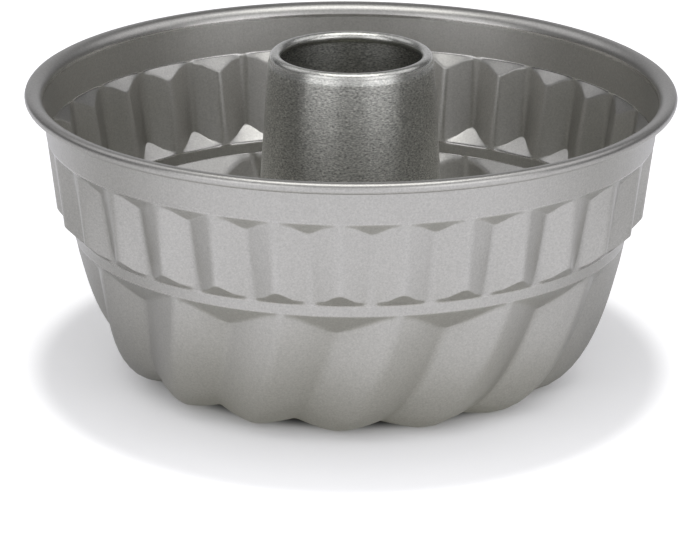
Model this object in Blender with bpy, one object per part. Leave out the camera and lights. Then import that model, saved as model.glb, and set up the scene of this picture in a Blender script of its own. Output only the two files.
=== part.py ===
"""Kugelhopf mould: a fluted steel shell, its centre tube and the wire in its rolled rim.

The mould stands on its crown with the open side up, its axis on Z and the table at Z = 0.
Every sheet is drawn as the face that looks away from the sheet's metal, and a Solidify
modifier gives it its thickness. All lengths are in metres and all angles in degrees.
"""

import math

import bmesh
import bpy
from mathutils import Vector

# Sheet and clearances
SHEET = 0.0005
GAP = 0.0003

# Rim
RIM_RADIUS = 0.120
RIM_HEIGHT = 0.108
BEAD_DIAMETER = 0.0043
FLARE_RADIUS = 0.0042
CURL_TURN = 255.0
WIRE_DIAMETER = 0.0023

# Wall, ribs and ring
WALL_TAPER = 7.2
COLLAR_DEPTH = 0.0174
RIB_BAND_HEIGHT = 0.0330
RIB_TOP_SLOPE_HEIGHT = 0.0047
RIB_FOOT_SLOPE_HEIGHT = 0.0054
RIB_TOP_DEPTH = 0.0035
RING_STEP = 0.0053
RING_HEIGHT = 0.0043

# Flutes and crown
FLUTES = 15
RIBS_PER_FLUTE = 2
RIDGE_FLAT = 1.2
RIB_GROOVE_FLAT = 0.8
FLUTE_LEAD = 0.0090
FLUTE_LEAD_TAPER = 11.5
FLUTE_START_TAPER = 18.0
FLUTE_START_REACH = 0.008
CREST_RADIUS = 0.068
CREST_REACH = 0.022
CREST_FLAT = 0.004
FLUTE_DEPTH_TOP = 0.0049
FLUTE_DEPTH_MIDDLE = 0.0052
FLUTE_DEPTH_CREST = 0.0032
FLUTE_ROUNDNESS = 0.35
FLUTE_ROUNDING_POWER = 1.5
SHELF_RIDGE_SHARE = 0.2
SWIRL_START = 6.0
SWIRL_GAIN = 9.0
CROWN_RISE = 0.0130
CROWN_REACH = 0.010

# Centre tube
TUBE_RISE = 0.0134
TUBE_LIP_RADIUS = 0.0301
TUBE_LIP_DIAMETER = 0.0042
TUBE_LIP_TURN = 270.0
TUBE_SHOULDER = 0.0006
TUBE_SHOULDER_DEPTH = 0.0026
TUBE_TAPER = 3.4

# Folded seam between tube and shell
SEAM_FLANGE = 0.0065
SEAM_DROP = 0.0034
SEAM_HOOK = 0.0024
SEAM_BEND = 0.0006

# Facets
FLARE_STEPS = 3
CURL_STEPS = 6
FLUTE_STEPS = 5
CROWN_STEPS = 3
LIP_STEPS = 6
WIRE_SIDES = 6

# Finishes, each a name, a base colour, how metallic it is and how rough
SHELL_FINISH = ("Silver coated steel", (0.50, 0.50, 0.49, 1.0), 0.75, 0.42)
TUBE_FINISH = ("Turned steel", (0.33, 0.33, 0.32, 1.0), 0.85, 0.38)
WIRE_FINISH = ("Bright wire", (0.45, 0.45, 0.46, 1.0), 0.9, 0.35)

# Sizes worked out from the ones above
COLUMNS = 2 * RIBS_PER_FLUTE * FLUTES
FLUTE_PITCH = 360.0 / FLUTES
RIB_PITCH = FLUTE_PITCH / RIBS_PER_FLUTE
CURL_RADIUS = BEAD_DIAMETER / 2 - SHEET
BEAD_CENTRE = Vector((RIM_RADIUS - BEAD_DIAMETER / 2, RIM_HEIGHT - BEAD_DIAMETER / 2))
WALL_TOP = Vector((BEAD_CENTRE.x - FLARE_RADIUS, RIM_HEIGHT - SHEET - FLARE_RADIUS))
BAND_TOP = RIM_HEIGHT - COLLAR_DEPTH
RING_TOP = BAND_TOP - RIB_BAND_HEIGHT
RING_BOTTOM = RING_TOP - RING_HEIGHT
TUBE_TOP = RIM_HEIGHT + TUBE_RISE


def clear_scene():
    """Remove every object that the opened file holds."""
    for old in list(bpy.data.objects):
        bpy.data.objects.remove(old, do_unlink=True)


def make_material(name, colour, metallic, roughness):
    """Return a plain Principled BSDF material."""
    material = bpy.data.materials.new(name)
    material.use_nodes = True
    shader = material.node_tree.nodes["Principled BSDF"]
    shader.inputs["Base Color"].default_value = colour
    shader.inputs["Metallic"].default_value = metallic
    shader.inputs["Roughness"].default_value = roughness
    material.diffuse_color = colour
    return material


def link_object(name, bm, material):
    """Turn a bmesh into a named object with its material."""
    mesh = bpy.data.meshes.new(name)
    bm.to_mesh(mesh)
    bm.free()
    mesh.materials.append(material)
    new_object = bpy.data.objects.new(name, mesh)
    bpy.context.scene.collection.objects.link(new_object)
    return new_object


def thicken(sheet_object):
    """Give a sheet its thickness, behind the face that was drawn."""
    solidify = sheet_object.modifiers.new("Sheet thickness", "SOLIDIFY")
    solidify.thickness = SHEET
    solidify.offset = -1.0
    solidify.use_even_offset = True
    solidify.use_quality_normals = True


def arc(centre, radius, start, turn, steps):
    """Return points on an arc, from the start angle on, both ends included."""
    points = []
    for step in range(steps + 1):
        angle = math.radians(start + turn * step / steps)
        points.append(centre + radius * Vector((math.cos(angle), math.sin(angle))))
    return points


def bezier(start, start_handle, end_handle, end, share):
    """Return the point of a cubic Bezier curve at a share of its run."""
    rest = 1.0 - share
    return (
        start * rest**3
        + start_handle * 3 * rest**2 * share
        + end_handle * 3 * rest * share**2
        + end * share**3
    )


def fold(angle, pitch):
    """Return 0 on a ridge and 1 in a groove, straight in between, with small flats on both."""
    groove_flat = RIB_GROOVE_FLAT if pitch == RIB_PITCH else RIDGE_FLAT
    distance = abs((angle + pitch / 2) % pitch - pitch / 2)
    slope = pitch / 2 - RIDGE_FLAT - groove_flat
    return min(max((distance - RIDGE_FLAT) / slope, 0.0), 1.0)


def wall_radius(height):
    """Return the outer radius of the plain wall, on which the ribs' ridges lie."""
    return WALL_TOP.x - (WALL_TOP.y - height) * math.tan(math.radians(WALL_TAPER))


def ring_radius(height):
    """Return the outer radius of the ring under the ribs."""
    return wall_radius(height) - RING_STEP


def rib_point(angle, height):
    """Return radius and height on the ribs' facets at an angle."""
    start = BAND_TOP - RIB_TOP_SLOPE_HEIGHT
    run = (start - height) / (start - RING_TOP)
    depth = RIB_TOP_DEPTH + (RING_STEP - RIB_TOP_DEPTH) * run
    return Vector((wall_radius(height) - depth * fold(angle, RIB_PITCH), height))


def tube_radius(height):
    """Return the outer radius of the tube's cone."""
    top = TUBE_LIP_RADIUS + TUBE_SHOULDER
    start = TUBE_TOP - TUBE_LIP_DIAMETER / 2 - TUBE_SHOULDER_DEPTH
    return top + (start - height) * math.tan(math.radians(TUBE_TAPER))


def seam_collar_radius():
    """Return the radius of the shell's short collar round the tube's foot, on its hooked side."""
    return tube_radius(CROWN_RISE) + GAP + SHEET


def rim_outline():
    """Return the sheet's outline in the rolled rim, from its curled edge to the wall."""
    flare_centre = Vector((BEAD_CENTRE.x, WALL_TOP.y))
    curl = arc(BEAD_CENTRE, CURL_RADIUS, 90.0 - CURL_TURN, CURL_TURN, CURL_STEPS)
    flare = arc(flare_centre, FLARE_RADIUS, 90.0, 90.0, FLARE_STEPS)
    return curl + flare[1:]


def flute_outline():
    """Return the crest's outline as points, unit normals into the metal and runs."""
    start = Vector((ring_radius(RING_BOTTOM), RING_BOTTOM))
    lead_angle = math.radians(FLUTE_LEAD_TAPER)
    lead_end = start - FLUTE_LEAD * Vector((math.sin(lead_angle), math.cos(lead_angle)))
    start_angle = math.radians(FLUTE_START_TAPER)
    start_handle = lead_end - FLUTE_START_REACH * Vector((math.sin(start_angle), math.cos(start_angle)))
    crest_outside = Vector((CREST_RADIUS + CREST_FLAT / 2, 0.0))
    crest_inside = Vector((CREST_RADIUS - CREST_FLAT / 2, 0.0))
    crown_end = Vector((seam_collar_radius() + SEAM_FLANGE, CROWN_RISE))
    points = [start, lead_end]
    for step in range(1, FLUTE_STEPS + 1):
        handle = crest_outside + Vector((CREST_REACH, 0.0))
        points.append(bezier(lead_end, start_handle, handle, crest_outside, step / FLUTE_STEPS))
    crest_index = len(points) - 1
    for step in range(CROWN_STEPS + 1):
        inner_handle = crest_inside - Vector((CROWN_REACH, 0.0))
        outer_handle = crown_end + Vector((CROWN_REACH, 0.0))
        points.append(bezier(crest_inside, inner_handle, outer_handle, crown_end, step / CROWN_STEPS))
    runs = [0.0]
    for previous, point in zip(points, points[1:]):
        runs.append(runs[-1] + (point - previous).length)
    crest_run = runs[crest_index]
    runs = [run / crest_run for run in runs]
    normals = []
    for index in range(len(points)):
        along = points[min(index + 1, len(points) - 1)] - points[max(index - 1, 0)]
        normals.append(Vector((along.y, -along.x)).normalized())
    return points, normals, runs


def flute_depth(run, end_run):
    """Return how deep the grooves lie under the crests at a run along the outline."""
    if run > 1.0:
        return FLUTE_DEPTH_CREST * (end_run - run) / (end_run - 1.0)
    top = FLUTE_DEPTH_TOP * (1 - run) * (1 - 2 * run)
    middle = FLUTE_DEPTH_MIDDLE * 4 * run * (1 - run)
    crest = FLUTE_DEPTH_CREST * run * (2 * run - 1)
    return top + middle + crest


def swirl(run):
    """Return how far the flutes have turned round the axis at a run along the outline."""
    if run > 1.0:
        return SWIRL_START + SWIRL_GAIN + (SWIRL_START + 2 * SWIRL_GAIN) * (run - 1.0)
    return SWIRL_START * run + SWIRL_GAIN * run * run


def place(outline_point, angle):
    """Return the point in space of an outline point at an angle round the axis."""
    turn = math.radians(angle)
    return Vector((outline_point.x * math.cos(turn), outline_point.x * math.sin(turn), outline_point.y))


def fine_angles():
    """Return two angles to each ridge and groove of the ribs."""
    angles = []
    for column in range(COLUMNS):
        centre = 360.0 * column / COLUMNS
        flat = RIB_GROOVE_FLAT if column % 2 else RIDGE_FLAT
        angles += [centre - flat, centre + flat]
    return angles


def coarse_row(bm, outline_point, turn=0.0):
    """Add a ring of vertices with one to each ridge and groove."""
    return [bm.verts.new(place(outline_point, 360.0 * c / COLUMNS - turn)) for c in range(COLUMNS)]


def join_coarse(bm, upper, lower):
    """Fill between two coarse rings."""
    count = len(upper)
    for here in range(count):
        there = (here + 1) % count
        bm.faces.new((upper[here], lower[here], lower[there], upper[there]))


def join_coarse_to_fine(bm, coarse, fine, coarse_on_top):
    """Fill between a coarse and a fine ring with triangles."""
    count = len(coarse)
    for here in range(count):
        there = (here + 1) % count
        left, right, after = fine[2 * here], fine[2 * here + 1], fine[2 * there]
        triangles = [
            (coarse[here], left, right),
            (coarse[here], right, after),
            (coarse[here], after, coarse[there]),
        ]
        for triangle in triangles:
            bm.faces.new(triangle if coarse_on_top else triangle[::-1])


def join_fine(bm, upper, lower, pitch):
    """Fill between two fine rings, with each diagonal running from a ridge down to a groove."""
    angles = fine_angles()
    count = len(upper)
    for here in range(count):
        there = (here + 1) % count
        corners = (upper[here], lower[here], lower[there], upper[there])
        if fold(angles[here], pitch) <= fold(angles[there], pitch):
            bm.faces.new((corners[0], corners[1], corners[2]))
            bm.faces.new((corners[0], corners[2], corners[3]))
        else:
            bm.faces.new((corners[0], corners[1], corners[3]))
            bm.faces.new((corners[1], corners[2], corners[3]))


def rib_rows(bm):
    """Add the rings of the collar's foot, the ribs and the plain ring."""
    angles = fine_angles()
    top = Vector((wall_radius(BAND_TOP), BAND_TOP))
    rows = [[bm.verts.new(place(top, angle)) for angle in angles]]
    for height in (BAND_TOP - RIB_TOP_SLOPE_HEIGHT, RING_TOP + RIB_FOOT_SLOPE_HEIGHT):
        rows.append([bm.verts.new(place(rib_point(angle, height), angle)) for angle in angles])
    for height in (RING_TOP, RING_BOTTOM):
        ring = Vector((ring_radius(height), height))
        rows.append([bm.verts.new(place(ring, angle)) for angle in angles])
    return rows


def flute_rows(bm):
    """Add the rings of the swirled flutes, from under the plain ring to the crown's inner edge.

    The first ring zigzags: it lies high on the ridges and low in the grooves, which makes the
    three-cornered shelf at the head of each groove.
    """
    points, normals, runs = flute_outline()
    rows = []
    for index in range(1, len(points)):
        depth = flute_depth(runs[index], runs[-1])
        roundness = FLUTE_ROUNDNESS * min(runs[index], 1.0) ** FLUTE_ROUNDING_POWER
        row = []
        for angle in fine_angles():
            groove = fold(angle, FLUTE_PITCH)
            point = points[index] + normals[index] * depth * groove ** (1 + roundness)
            turn = swirl(runs[index])
            if index == 1:
                lead = SHELF_RIDGE_SHARE + (1 - SHELF_RIDGE_SHARE) * groove
                point = points[0].lerp(points[1], lead) + normals[1] * depth * groove
                turn = swirl(runs[1] * lead)
            row.append(bm.verts.new(place(point, angle - turn)))
        rows.append(row)
    return rows, swirl(runs[-1])


def seam_outline():
    """Return the shell's outline from the crown to the end of its folded hook."""
    collar = seam_collar_radius()
    hook_height = CROWN_RISE - SEAM_DROP
    return [
        Vector((collar + SEAM_BEND, CROWN_RISE)),
        Vector((collar, CROWN_RISE - SEAM_BEND)),
        Vector((collar, hook_height)),
        Vector((collar + SEAM_HOOK, hook_height)),
    ]


def make_fluted_shell():
    """Build the pressed body from its rolled rim down to its folded inner edge."""
    bm = bmesh.new()
    rim = [coarse_row(bm, point) for point in rim_outline()]
    for upper, lower in zip(rim, rim[1:]):
        join_coarse(bm, upper, lower)
    ribs = rib_rows(bm)
    join_coarse_to_fine(bm, rim[-1], ribs[0], coarse_on_top=True)
    for upper, lower in zip(ribs, ribs[1:]):
        join_fine(bm, upper, lower, RIB_PITCH)
    flutes, last_turn = flute_rows(bm)
    for upper, lower in zip([ribs[-1]] + flutes, flutes):
        join_fine(bm, upper, lower, FLUTE_PITCH)
    seam = [coarse_row(bm, point, last_turn) for point in seam_outline()]
    join_coarse_to_fine(bm, seam[0], flutes[-1], coarse_on_top=False)
    for upper, lower in zip(seam, seam[1:]):
        join_coarse(bm, upper, lower)
    shell = link_object("fluted_shell", bm, make_material(*SHELL_FINISH))
    thicken(shell)
    return shell


def tube_outline():
    """Return the tube's outline from its folded foot up to its rolled lip."""
    collar = seam_collar_radius()
    hook_top = CROWN_RISE - SEAM_DROP
    hook_end = collar + SEAM_HOOK
    foot = [
        Vector((collar + 2 * GAP, hook_top + GAP)),
        Vector((hook_end + GAP, hook_top + GAP)),
        Vector((hook_end + GAP, hook_top - SHEET - GAP)),
        Vector((tube_radius(CROWN_RISE), hook_top - SHEET - GAP)),
    ]
    lip_centre = Vector((TUBE_LIP_RADIUS - TUBE_LIP_DIAMETER / 2, TUBE_TOP - TUBE_LIP_DIAMETER / 2))
    shoulder = lip_centre.y - TUBE_SHOULDER_DEPTH
    wall = [
        Vector((tube_radius(CROWN_RISE), CROWN_RISE)),
        Vector((tube_radius(shoulder), shoulder)),
    ]
    lip = arc(lip_centre, TUBE_LIP_DIAMETER / 2, 0.0, TUBE_LIP_TURN, LIP_STEPS)
    return foot + wall + lip


def spin_outline(outline, closed=False):
    """Return a bmesh of an outline turned round the Z axis."""
    bm = bmesh.new()
    corners = [bm.verts.new((point.x, 0.0, point.y)) for point in outline]
    edges = [bm.edges.new(pair) for pair in zip(corners, corners[1:])]
    if closed:
        edges.append(bm.edges.new((corners[-1], corners[0])))
    bmesh.ops.spin(
        bm,
        geom=corners + edges,
        cent=(0.0, 0.0, 0.0),
        axis=(0.0, 0.0, 1.0),
        angle=math.tau,
        steps=COLUMNS,
        use_merge=True,
    )
    bmesh.ops.recalc_face_normals(bm, faces=bm.faces)
    return bm


def make_centre_tube():
    """Build the open conical tube with its rolled lip and folded foot."""
    tube = link_object("centre_tube", spin_outline(tube_outline()), make_material(*TUBE_FINISH))
    thicken(tube)
    return tube


def make_rim_wire():
    """Build the wire ring that the rim is curled round."""
    sides = arc(BEAD_CENTRE, WIRE_DIAMETER / 2, 0.0, 360.0, WIRE_SIDES)[:-1]
    wire = spin_outline(sides, closed=True)
    return link_object("rim_wire", wire, make_material(*WIRE_FINISH))


def main():
    """Build the mould in an empty scene."""
    clear_scene()
    make_fluted_shell()
    make_centre_tube()
    make_rim_wire()


if __name__ == "__main__":
    main()
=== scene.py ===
"""Kugelhopf mould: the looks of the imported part, ready for the camera.

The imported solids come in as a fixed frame. The pressed shell, the centre tube and the wire in the
rim are then modelled again with rounded folds and round rolls, at the same sizes, and dressed in
procedural finishes. A pale floor, a softbox, soft cards and the photograph's camera complete it.
All lengths are in metres and all angles in degrees unless a name says otherwise.
"""

from __future__ import annotations

import logging
import math
from dataclasses import dataclass, field
from enum import Enum
from functools import cache
from typing import Sequence

import bpy
import numpy as np
from mathutils import Matrix, Vector


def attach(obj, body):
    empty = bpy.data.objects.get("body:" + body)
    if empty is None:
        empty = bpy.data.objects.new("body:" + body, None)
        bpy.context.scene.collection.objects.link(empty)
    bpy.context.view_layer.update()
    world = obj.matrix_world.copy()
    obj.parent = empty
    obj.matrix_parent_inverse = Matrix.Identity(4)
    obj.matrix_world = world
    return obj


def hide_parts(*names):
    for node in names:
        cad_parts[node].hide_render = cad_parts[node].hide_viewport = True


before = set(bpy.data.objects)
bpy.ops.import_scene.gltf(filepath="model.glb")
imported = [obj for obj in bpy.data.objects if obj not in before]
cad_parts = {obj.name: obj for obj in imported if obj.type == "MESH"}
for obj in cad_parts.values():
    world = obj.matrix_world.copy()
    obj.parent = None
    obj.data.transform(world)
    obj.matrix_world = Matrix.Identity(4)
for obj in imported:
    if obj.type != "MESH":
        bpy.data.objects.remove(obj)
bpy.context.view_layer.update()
LOG = logging.getLogger("kugelhopf_mould")

Array = np.ndarray
Socket = bpy.types.NodeSocket
Inputs = dict[str | int, object]
Point = tuple[float, float]
Colour = tuple[float, float, float]
# How worn each point is: it smooths the finish there, and it also lightens the colour as a painted
# highlight along edges and ridges.
EDGE_WEAR_AND_HIGHLIGHT = "edge_wear_and_highlight"
WHITE: Colour = (1.0, 1.0, 1.0)
QUARTER_TURN = 0.25


class Seen(Enum):
    """The rays that the floor and the surroundings tell apart."""

    CAMERA = "Is Camera Ray"
    GLOSS = "Is Glossy Ray"


class Rise(Enum):
    """How a mask rises from 0 to 1."""

    STRAIGHT = "LINEAR"
    EASED = "SMOOTHSTEP"


# Curves and blends


def arc_points(centre: Point, radius: float, start: float, turn: float, steps: int) -> list[Point]:
    """Return points on an arc, both ends included.

    Args:
        centre: Radius and height of the arc's centre.
        radius: The arc's radius.
        start: Angle of the first point.
        turn: Angle from the first point to the last one.
        steps: How many pieces the arc has.

    Returns:
        The points as pairs of radius and height.
    """
    angles = [math.radians(start + turn * step / steps) for step in range(steps + 1)]
    return [(centre[0] + radius * math.cos(a), centre[1] + radius * math.sin(a)) for a in angles]


def bezier_point(corners: Sequence[Vector], share: float) -> Vector:
    """Return a point of a cubic Bezier curve.

    Args:
        corners: The curve's start, its two handles and its end.
        share: How far along the curve the point lies, from 0 to 1.

    Returns:
        The point.
    """
    rest = 1.0 - share
    weights = (rest**3, 3 * rest**2 * share, 3 * rest * share**2, share**3)
    return sum((corner * weight for corner, weight in zip(corners, weights)), Vector((0.0, 0.0)))


def up_the_taper(taper: float) -> Vector:
    """Return the unit vector up and out along a wall that leans out by an angle."""
    return Vector((math.sin(math.radians(taper)), math.cos(math.radians(taper))))


def soft_ramp(value: Array, rounding: float) -> Array:
    """Return 0 below zero and the value above it, rounded over a stretch on both sides.

    Args:
        value: The numbers to ramp.
        rounding: Half the width of the rounded stretch.

    Returns:
        The ramped numbers.
    """
    rounded = (value + rounding) ** 2 / (4 * rounding)
    return np.where(value < -rounding, 0.0, np.where(value > rounding, value, rounded))


def soft_min(first: Array, second: Array, blend: Array) -> Array:
    """Return the smaller of two values, rounded where they meet.

    Args:
        first: One set of values.
        second: The other set.
        blend: How near the two have to be for the rounding to start.

    Returns:
        The rounded smaller values.
    """
    share = np.clip(0.5 + 0.5 * (second - first) / blend, 0.0, 1.0)
    return second + (first - second) * share - blend * share * (1 - share)


def soft_max(first: Array, second: Array, blend: Array) -> Array:
    """Return the larger of two values, rounded where they meet."""
    return -soft_min(-first, -second, blend)


def off_ridge(angles: Array, pitch: float) -> Array:
    """Return how far angles lie from the nearest ridge, with one ridge at 0."""
    return np.abs((angles + pitch / 2) % pitch - pitch / 2)


def fold(
    angles: Array, pitch: float, ridge_flat: Array | float, groove_flat: Array | float, rounding: float
) -> Array:
    """Return 0 on a ridge and 1 in a groove, straight in between.

    Args:
        angles: Angles round the axis; a ridge lies at 0.
        pitch: Angle from one ridge to the next.
        ridge_flat: Half the width of the flat on a ridge.
        groove_flat: Half the width of the flat in a groove.
        rounding: Half the width of the rounding at a flat's edge.

    Returns:
        The fold's share of its full depth.
    """
    distance = off_ridge(angles, pitch)
    end = pitch / 2 - groove_flat
    rise = soft_ramp(distance - ridge_flat, rounding) - soft_ramp(distance - end, rounding)
    return rise / (end - ridge_flat)


# Work on meshes


def deselect_everything() -> None:
    """Leave edit mode and deselect every object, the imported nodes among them."""
    if bpy.context.object is not None and bpy.context.object.mode != "OBJECT":
        bpy.ops.object.mode_set(mode="OBJECT")
    bpy.ops.object.select_all(action="DESELECT")


def select_only(piece: bpy.types.Object) -> None:
    """Select one piece, deselect all others and make the piece active.

    Args:
        piece: The piece.
    """
    deselect_everything()
    bpy.context.view_layer.objects.active = piece
    piece.select_set(True)


def spin_outline(
    name: str, outline: Sequence[Point], columns: int, closed: bool = False
) -> bpy.types.Object:
    """Draw an outline as a chain of edges and spin it round the axis.

    Args:
        name: The new object's name.
        outline: The points as pairs of radius and height.
        columns: How many steps go round the axis.
        closed: Whether the last point joins the first one.

    Returns:
        The spun object, with its place in its mesh.
    """
    seed_size = 0.001
    join_distance = 0.00001
    deselect_everything()
    first = outline[0]
    bpy.ops.mesh.primitive_plane_add(size=seed_size, location=(first[0], 0.0, first[1]))
    spun = bpy.context.object
    spun.name = name
    bpy.ops.object.transform_apply(location=True, rotation=True, scale=True)
    bpy.ops.object.mode_set(mode="EDIT")
    bpy.ops.mesh.select_all(action="SELECT")
    bpy.ops.mesh.merge(type="CENTER")
    for here, there in zip(outline, outline[1:]):
        step = (there[0] - here[0], 0.0, there[1] - here[1])
        bpy.ops.mesh.extrude_vertices_move(TRANSFORM_OT_translate={"value": step})
    bpy.ops.mesh.select_all(action="SELECT")
    if closed:
        bpy.ops.mesh.edge_face_add()
        bpy.ops.mesh.delete(type="ONLY_FACE")
        bpy.ops.mesh.select_all(action="SELECT")
    bpy.ops.mesh.spin(steps=columns, angle=math.tau, center=(0.0, 0.0, 0.0), axis=(0.0, 0.0, 1.0))
    bpy.ops.mesh.select_all(action="SELECT")
    bpy.ops.mesh.remove_doubles(threshold=join_distance)
    bpy.ops.mesh.normals_make_consistent(inside=False)
    bpy.ops.object.mode_set(mode="OBJECT")
    return spun


def face_outwards(wall: bpy.types.Object, low: float, high: float) -> None:
    """Turn a wall's faces over if they point to the axis.

    Args:
        wall: The open wall, before it gets its thickness.
        low: Lowest height of the faces that are tested.
        high: Highest height of the faces that are tested.
    """
    tested = (face for face in wall.data.polygons if low < face.center.z < high)
    if sum(face.center.xy.dot(face.normal.xy) for face in tested) < 0.0:
        select_only(wall)
        bpy.ops.object.mode_set(mode="EDIT")
        bpy.ops.mesh.select_all(action="SELECT")
        bpy.ops.mesh.flip_normals()
        bpy.ops.object.mode_set(mode="OBJECT")


def apply_modifier(piece: bpy.types.Object, kind: str, **settings: object) -> None:
    """Add a modifier to a piece, set it and apply it.

    Args:
        piece: The piece.
        kind: The modifier's type.
        settings: The modifier's properties by name.
    """
    select_only(piece)
    bpy.ops.object.modifier_add(type=kind)
    modifier = piece.modifiers[-1]
    for name, value in settings.items():
        setattr(modifier, name, value)
    bpy.ops.object.modifier_apply(modifier=modifier.name)


def thicken(wall: bpy.types.Object, sheet: float) -> None:
    """Give a wall its sheet's thickness, behind the face that was drawn."""
    settings = {"use_even_offset": True, "use_quality_normals": True}
    apply_modifier(wall, "SOLIDIFY", thickness=sheet, offset=-1.0, **settings)


def shade_smooth(piece: bpy.types.Object, angle: float) -> None:
    """Shade a piece smooth, with flat facets kept flat and sharp edges kept sharp.

    Args:
        piece: The piece.
        angle: Where the surface turns by more than this, the edge stays sharp.
    """
    select_only(piece)
    bpy.ops.object.shade_smooth_by_angle(angle=math.radians(angle))
    apply_modifier(piece, "WEIGHTED_NORMAL", keep_sharp=True)


def note_wear_and_highlight(wall: bpy.types.Object, wear_and_highlight: Array) -> None:
    """Keep in a wall's mesh how worn each of its points is, from 0 to 1; the same mask also lightens the
    colour there as a painted highlight.
    """
    wall.data.attributes.new(EDGE_WEAR_AND_HIGHLIGHT, "FLOAT", "POINT").data.foreach_set("value", wear_and_highlight)


def hand_over(piece: bpy.types.Object, node: str) -> None:
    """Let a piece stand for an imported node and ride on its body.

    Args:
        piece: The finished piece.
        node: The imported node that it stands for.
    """
    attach(piece, "root")
    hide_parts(node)
    triangles = sum(len(face.vertices) - 2 for face in piece.data.polygons)
    LOG.info("%s: %d triangles, stands for %s", piece.name, triangles, node)


# Node groups and finishes


class Nodes:
    """Adds nodes to a tree and feeds their inputs."""

    def __init__(self, tree: bpy.types.NodeTree) -> None:
        """Keep the tree that the nodes go in."""
        self.tree = tree

    def feed(self, node: bpy.types.Node, inputs: Inputs) -> None:
        """Join a node's inputs to outputs of other nodes, or give them values.

        Args:
            node: The node.
            inputs: An output or a value for each input, by the input's name or place.
        """
        for label, value in inputs.items():
            if isinstance(value, Socket):
                self.tree.links.new(value, node.inputs[label])
            else:
                node.inputs[label].default_value = value

    def add(self, kind: str, inputs: Inputs | None = None, **settings: object) -> bpy.types.Node:
        """Add a node.

        Args:
            kind: The node's type.
            inputs: What feeds its inputs.
            settings: The node's properties by name.

        Returns:
            The node.
        """
        node = self.tree.nodes.new(kind)
        for name, value in settings.items():
            setattr(node, name, value)
        self.feed(node, inputs or {})
        return node

    def maths(self, operation: str, *values: Socket | float) -> Socket:
        """Work out a number from one to three others."""
        return self.add("ShaderNodeMath", dict(enumerate(values)), operation=operation).outputs[0]

    def between(self, value: Socket, low: float, high: float) -> Socket:
        """Spread a value of 0 to 1 over a range."""
        inputs = {"Value": value, "To Min": low, "To Max": high}
        return self.add("ShaderNodeMapRange", inputs).outputs["Result"]

    def about(self, value: Socket, middle: float, spread: float) -> Socket:
        """Spread a value of 0 to 1 evenly about a middle."""
        return self.between(value, middle - spread, middle + spread)

    def rise(self, value: Socket, start: Socket | float, end: Socket | float, shape: Rise) -> Socket:
        """Return how far a value has come from a start to an end, from 0 to 1."""
        inputs = {"Value": value, "From Min": start, "From Max": end}
        return self.add("ShaderNodeMapRange", inputs, interpolation_type=shape.value).outputs["Result"]

    def noise(self, place: Socket, scale: Socket | float, detail: float, roughness: float) -> Socket:
        """Return a soft random value at each place."""
        inputs = {"Vector": place, "Scale": scale, "Detail": detail, "Roughness": roughness}
        return self.add("ShaderNodeTexNoise", inputs).outputs["Fac"]

    def tinted(self, value: Socket, colour: Colour) -> Socket:
        """Multiply a colour by a value."""
        inputs = {0: colour, "Scale": value}
        return self.add("ShaderNodeVectorMath", inputs, operation="SCALE").outputs["Vector"]

    def together(self, first: Socket, second: Socket) -> Socket:
        """Add two colours."""
        inputs = {0: first, 1: second}
        return self.add("ShaderNodeVectorMath", inputs, operation="ADD").outputs["Vector"]

    def group(self, tree: bpy.types.NodeTree, inputs: Inputs) -> bpy.types.bpy_prop_collection:
        """Put a node group in the tree and return its outputs."""
        return self.add("ShaderNodeGroup", inputs, node_tree=tree).outputs

    def given(self, label: str) -> Socket:
        """Return one of the values that this tree, a group, is given."""
        return self.tree.nodes["Group Input"].outputs[label]

    def give(self, results: Inputs) -> bpy.types.NodeTree:
        """Feed the outputs of this tree, a group, and return it."""
        self.feed(self.tree.nodes["Group Output"], results)
        return self.tree


def new_group(name: str, vectors: Sequence[str], numbers: Sequence[str], results: Sequence[str]) -> Nodes:
    """Start a shader node group.

    Args:
        name: The group's name.
        vectors: Names of the inputs that are vectors.
        numbers: Names of the inputs that are numbers.
        results: Names of the outputs, which are numbers.

    Returns:
        The group's nodes, so far only its input node and its output node.
    """
    tree = bpy.data.node_groups.new(name, "ShaderNodeTree")
    sockets = [(label, "INPUT", "NodeSocketVector") for label in vectors]
    sockets += [(label, "INPUT", "NodeSocketFloat") for label in numbers]
    sockets += [(label, "OUTPUT", "NodeSocketFloat") for label in results]
    for label, side, kind in sockets:
        tree.interface.new_socket(label, in_out=side, socket_type=kind)
    nodes = Nodes(tree)
    nodes.add("NodeGroupInput")
    nodes.add("NodeGroupOutput")
    return nodes


@cache
def grain_group() -> bpy.types.NodeTree:
    """Build the fine metallic grain of a coating, once for all finishes.

    Returns:
        A group that puts out Grain, from 0 to 1, and Height for a bump.
    """
    flakes_per_grain = 1.7
    flake_share = 0.4
    nodes = new_group("Metallic grain", ["Vector"], ["Grains per metre"], ["Grain", "Height"])
    place = nodes.given("Vector")
    rate = nodes.given("Grains per metre")
    height = nodes.noise(place, rate, detail=2.0, roughness=0.7)
    flake_rate = nodes.maths("MULTIPLY", rate, flakes_per_grain)
    flakes = nodes.add("ShaderNodeTexVoronoi", {"Vector": place, "Scale": flake_rate})
    one_flake = nodes.add("ShaderNodeSeparateColor", {"Color": flakes.outputs["Color"]})
    soft = nodes.rise(height, start=0.3, end=0.7, shape=Rise.STRAIGHT)
    soft = nodes.maths("MULTIPLY", soft, 1 - flake_share)
    grain = nodes.maths("MULTIPLY_ADD", one_flake.outputs["Red"], flake_share, soft)
    return nodes.give({"Grain": grain, "Height": height})


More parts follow.
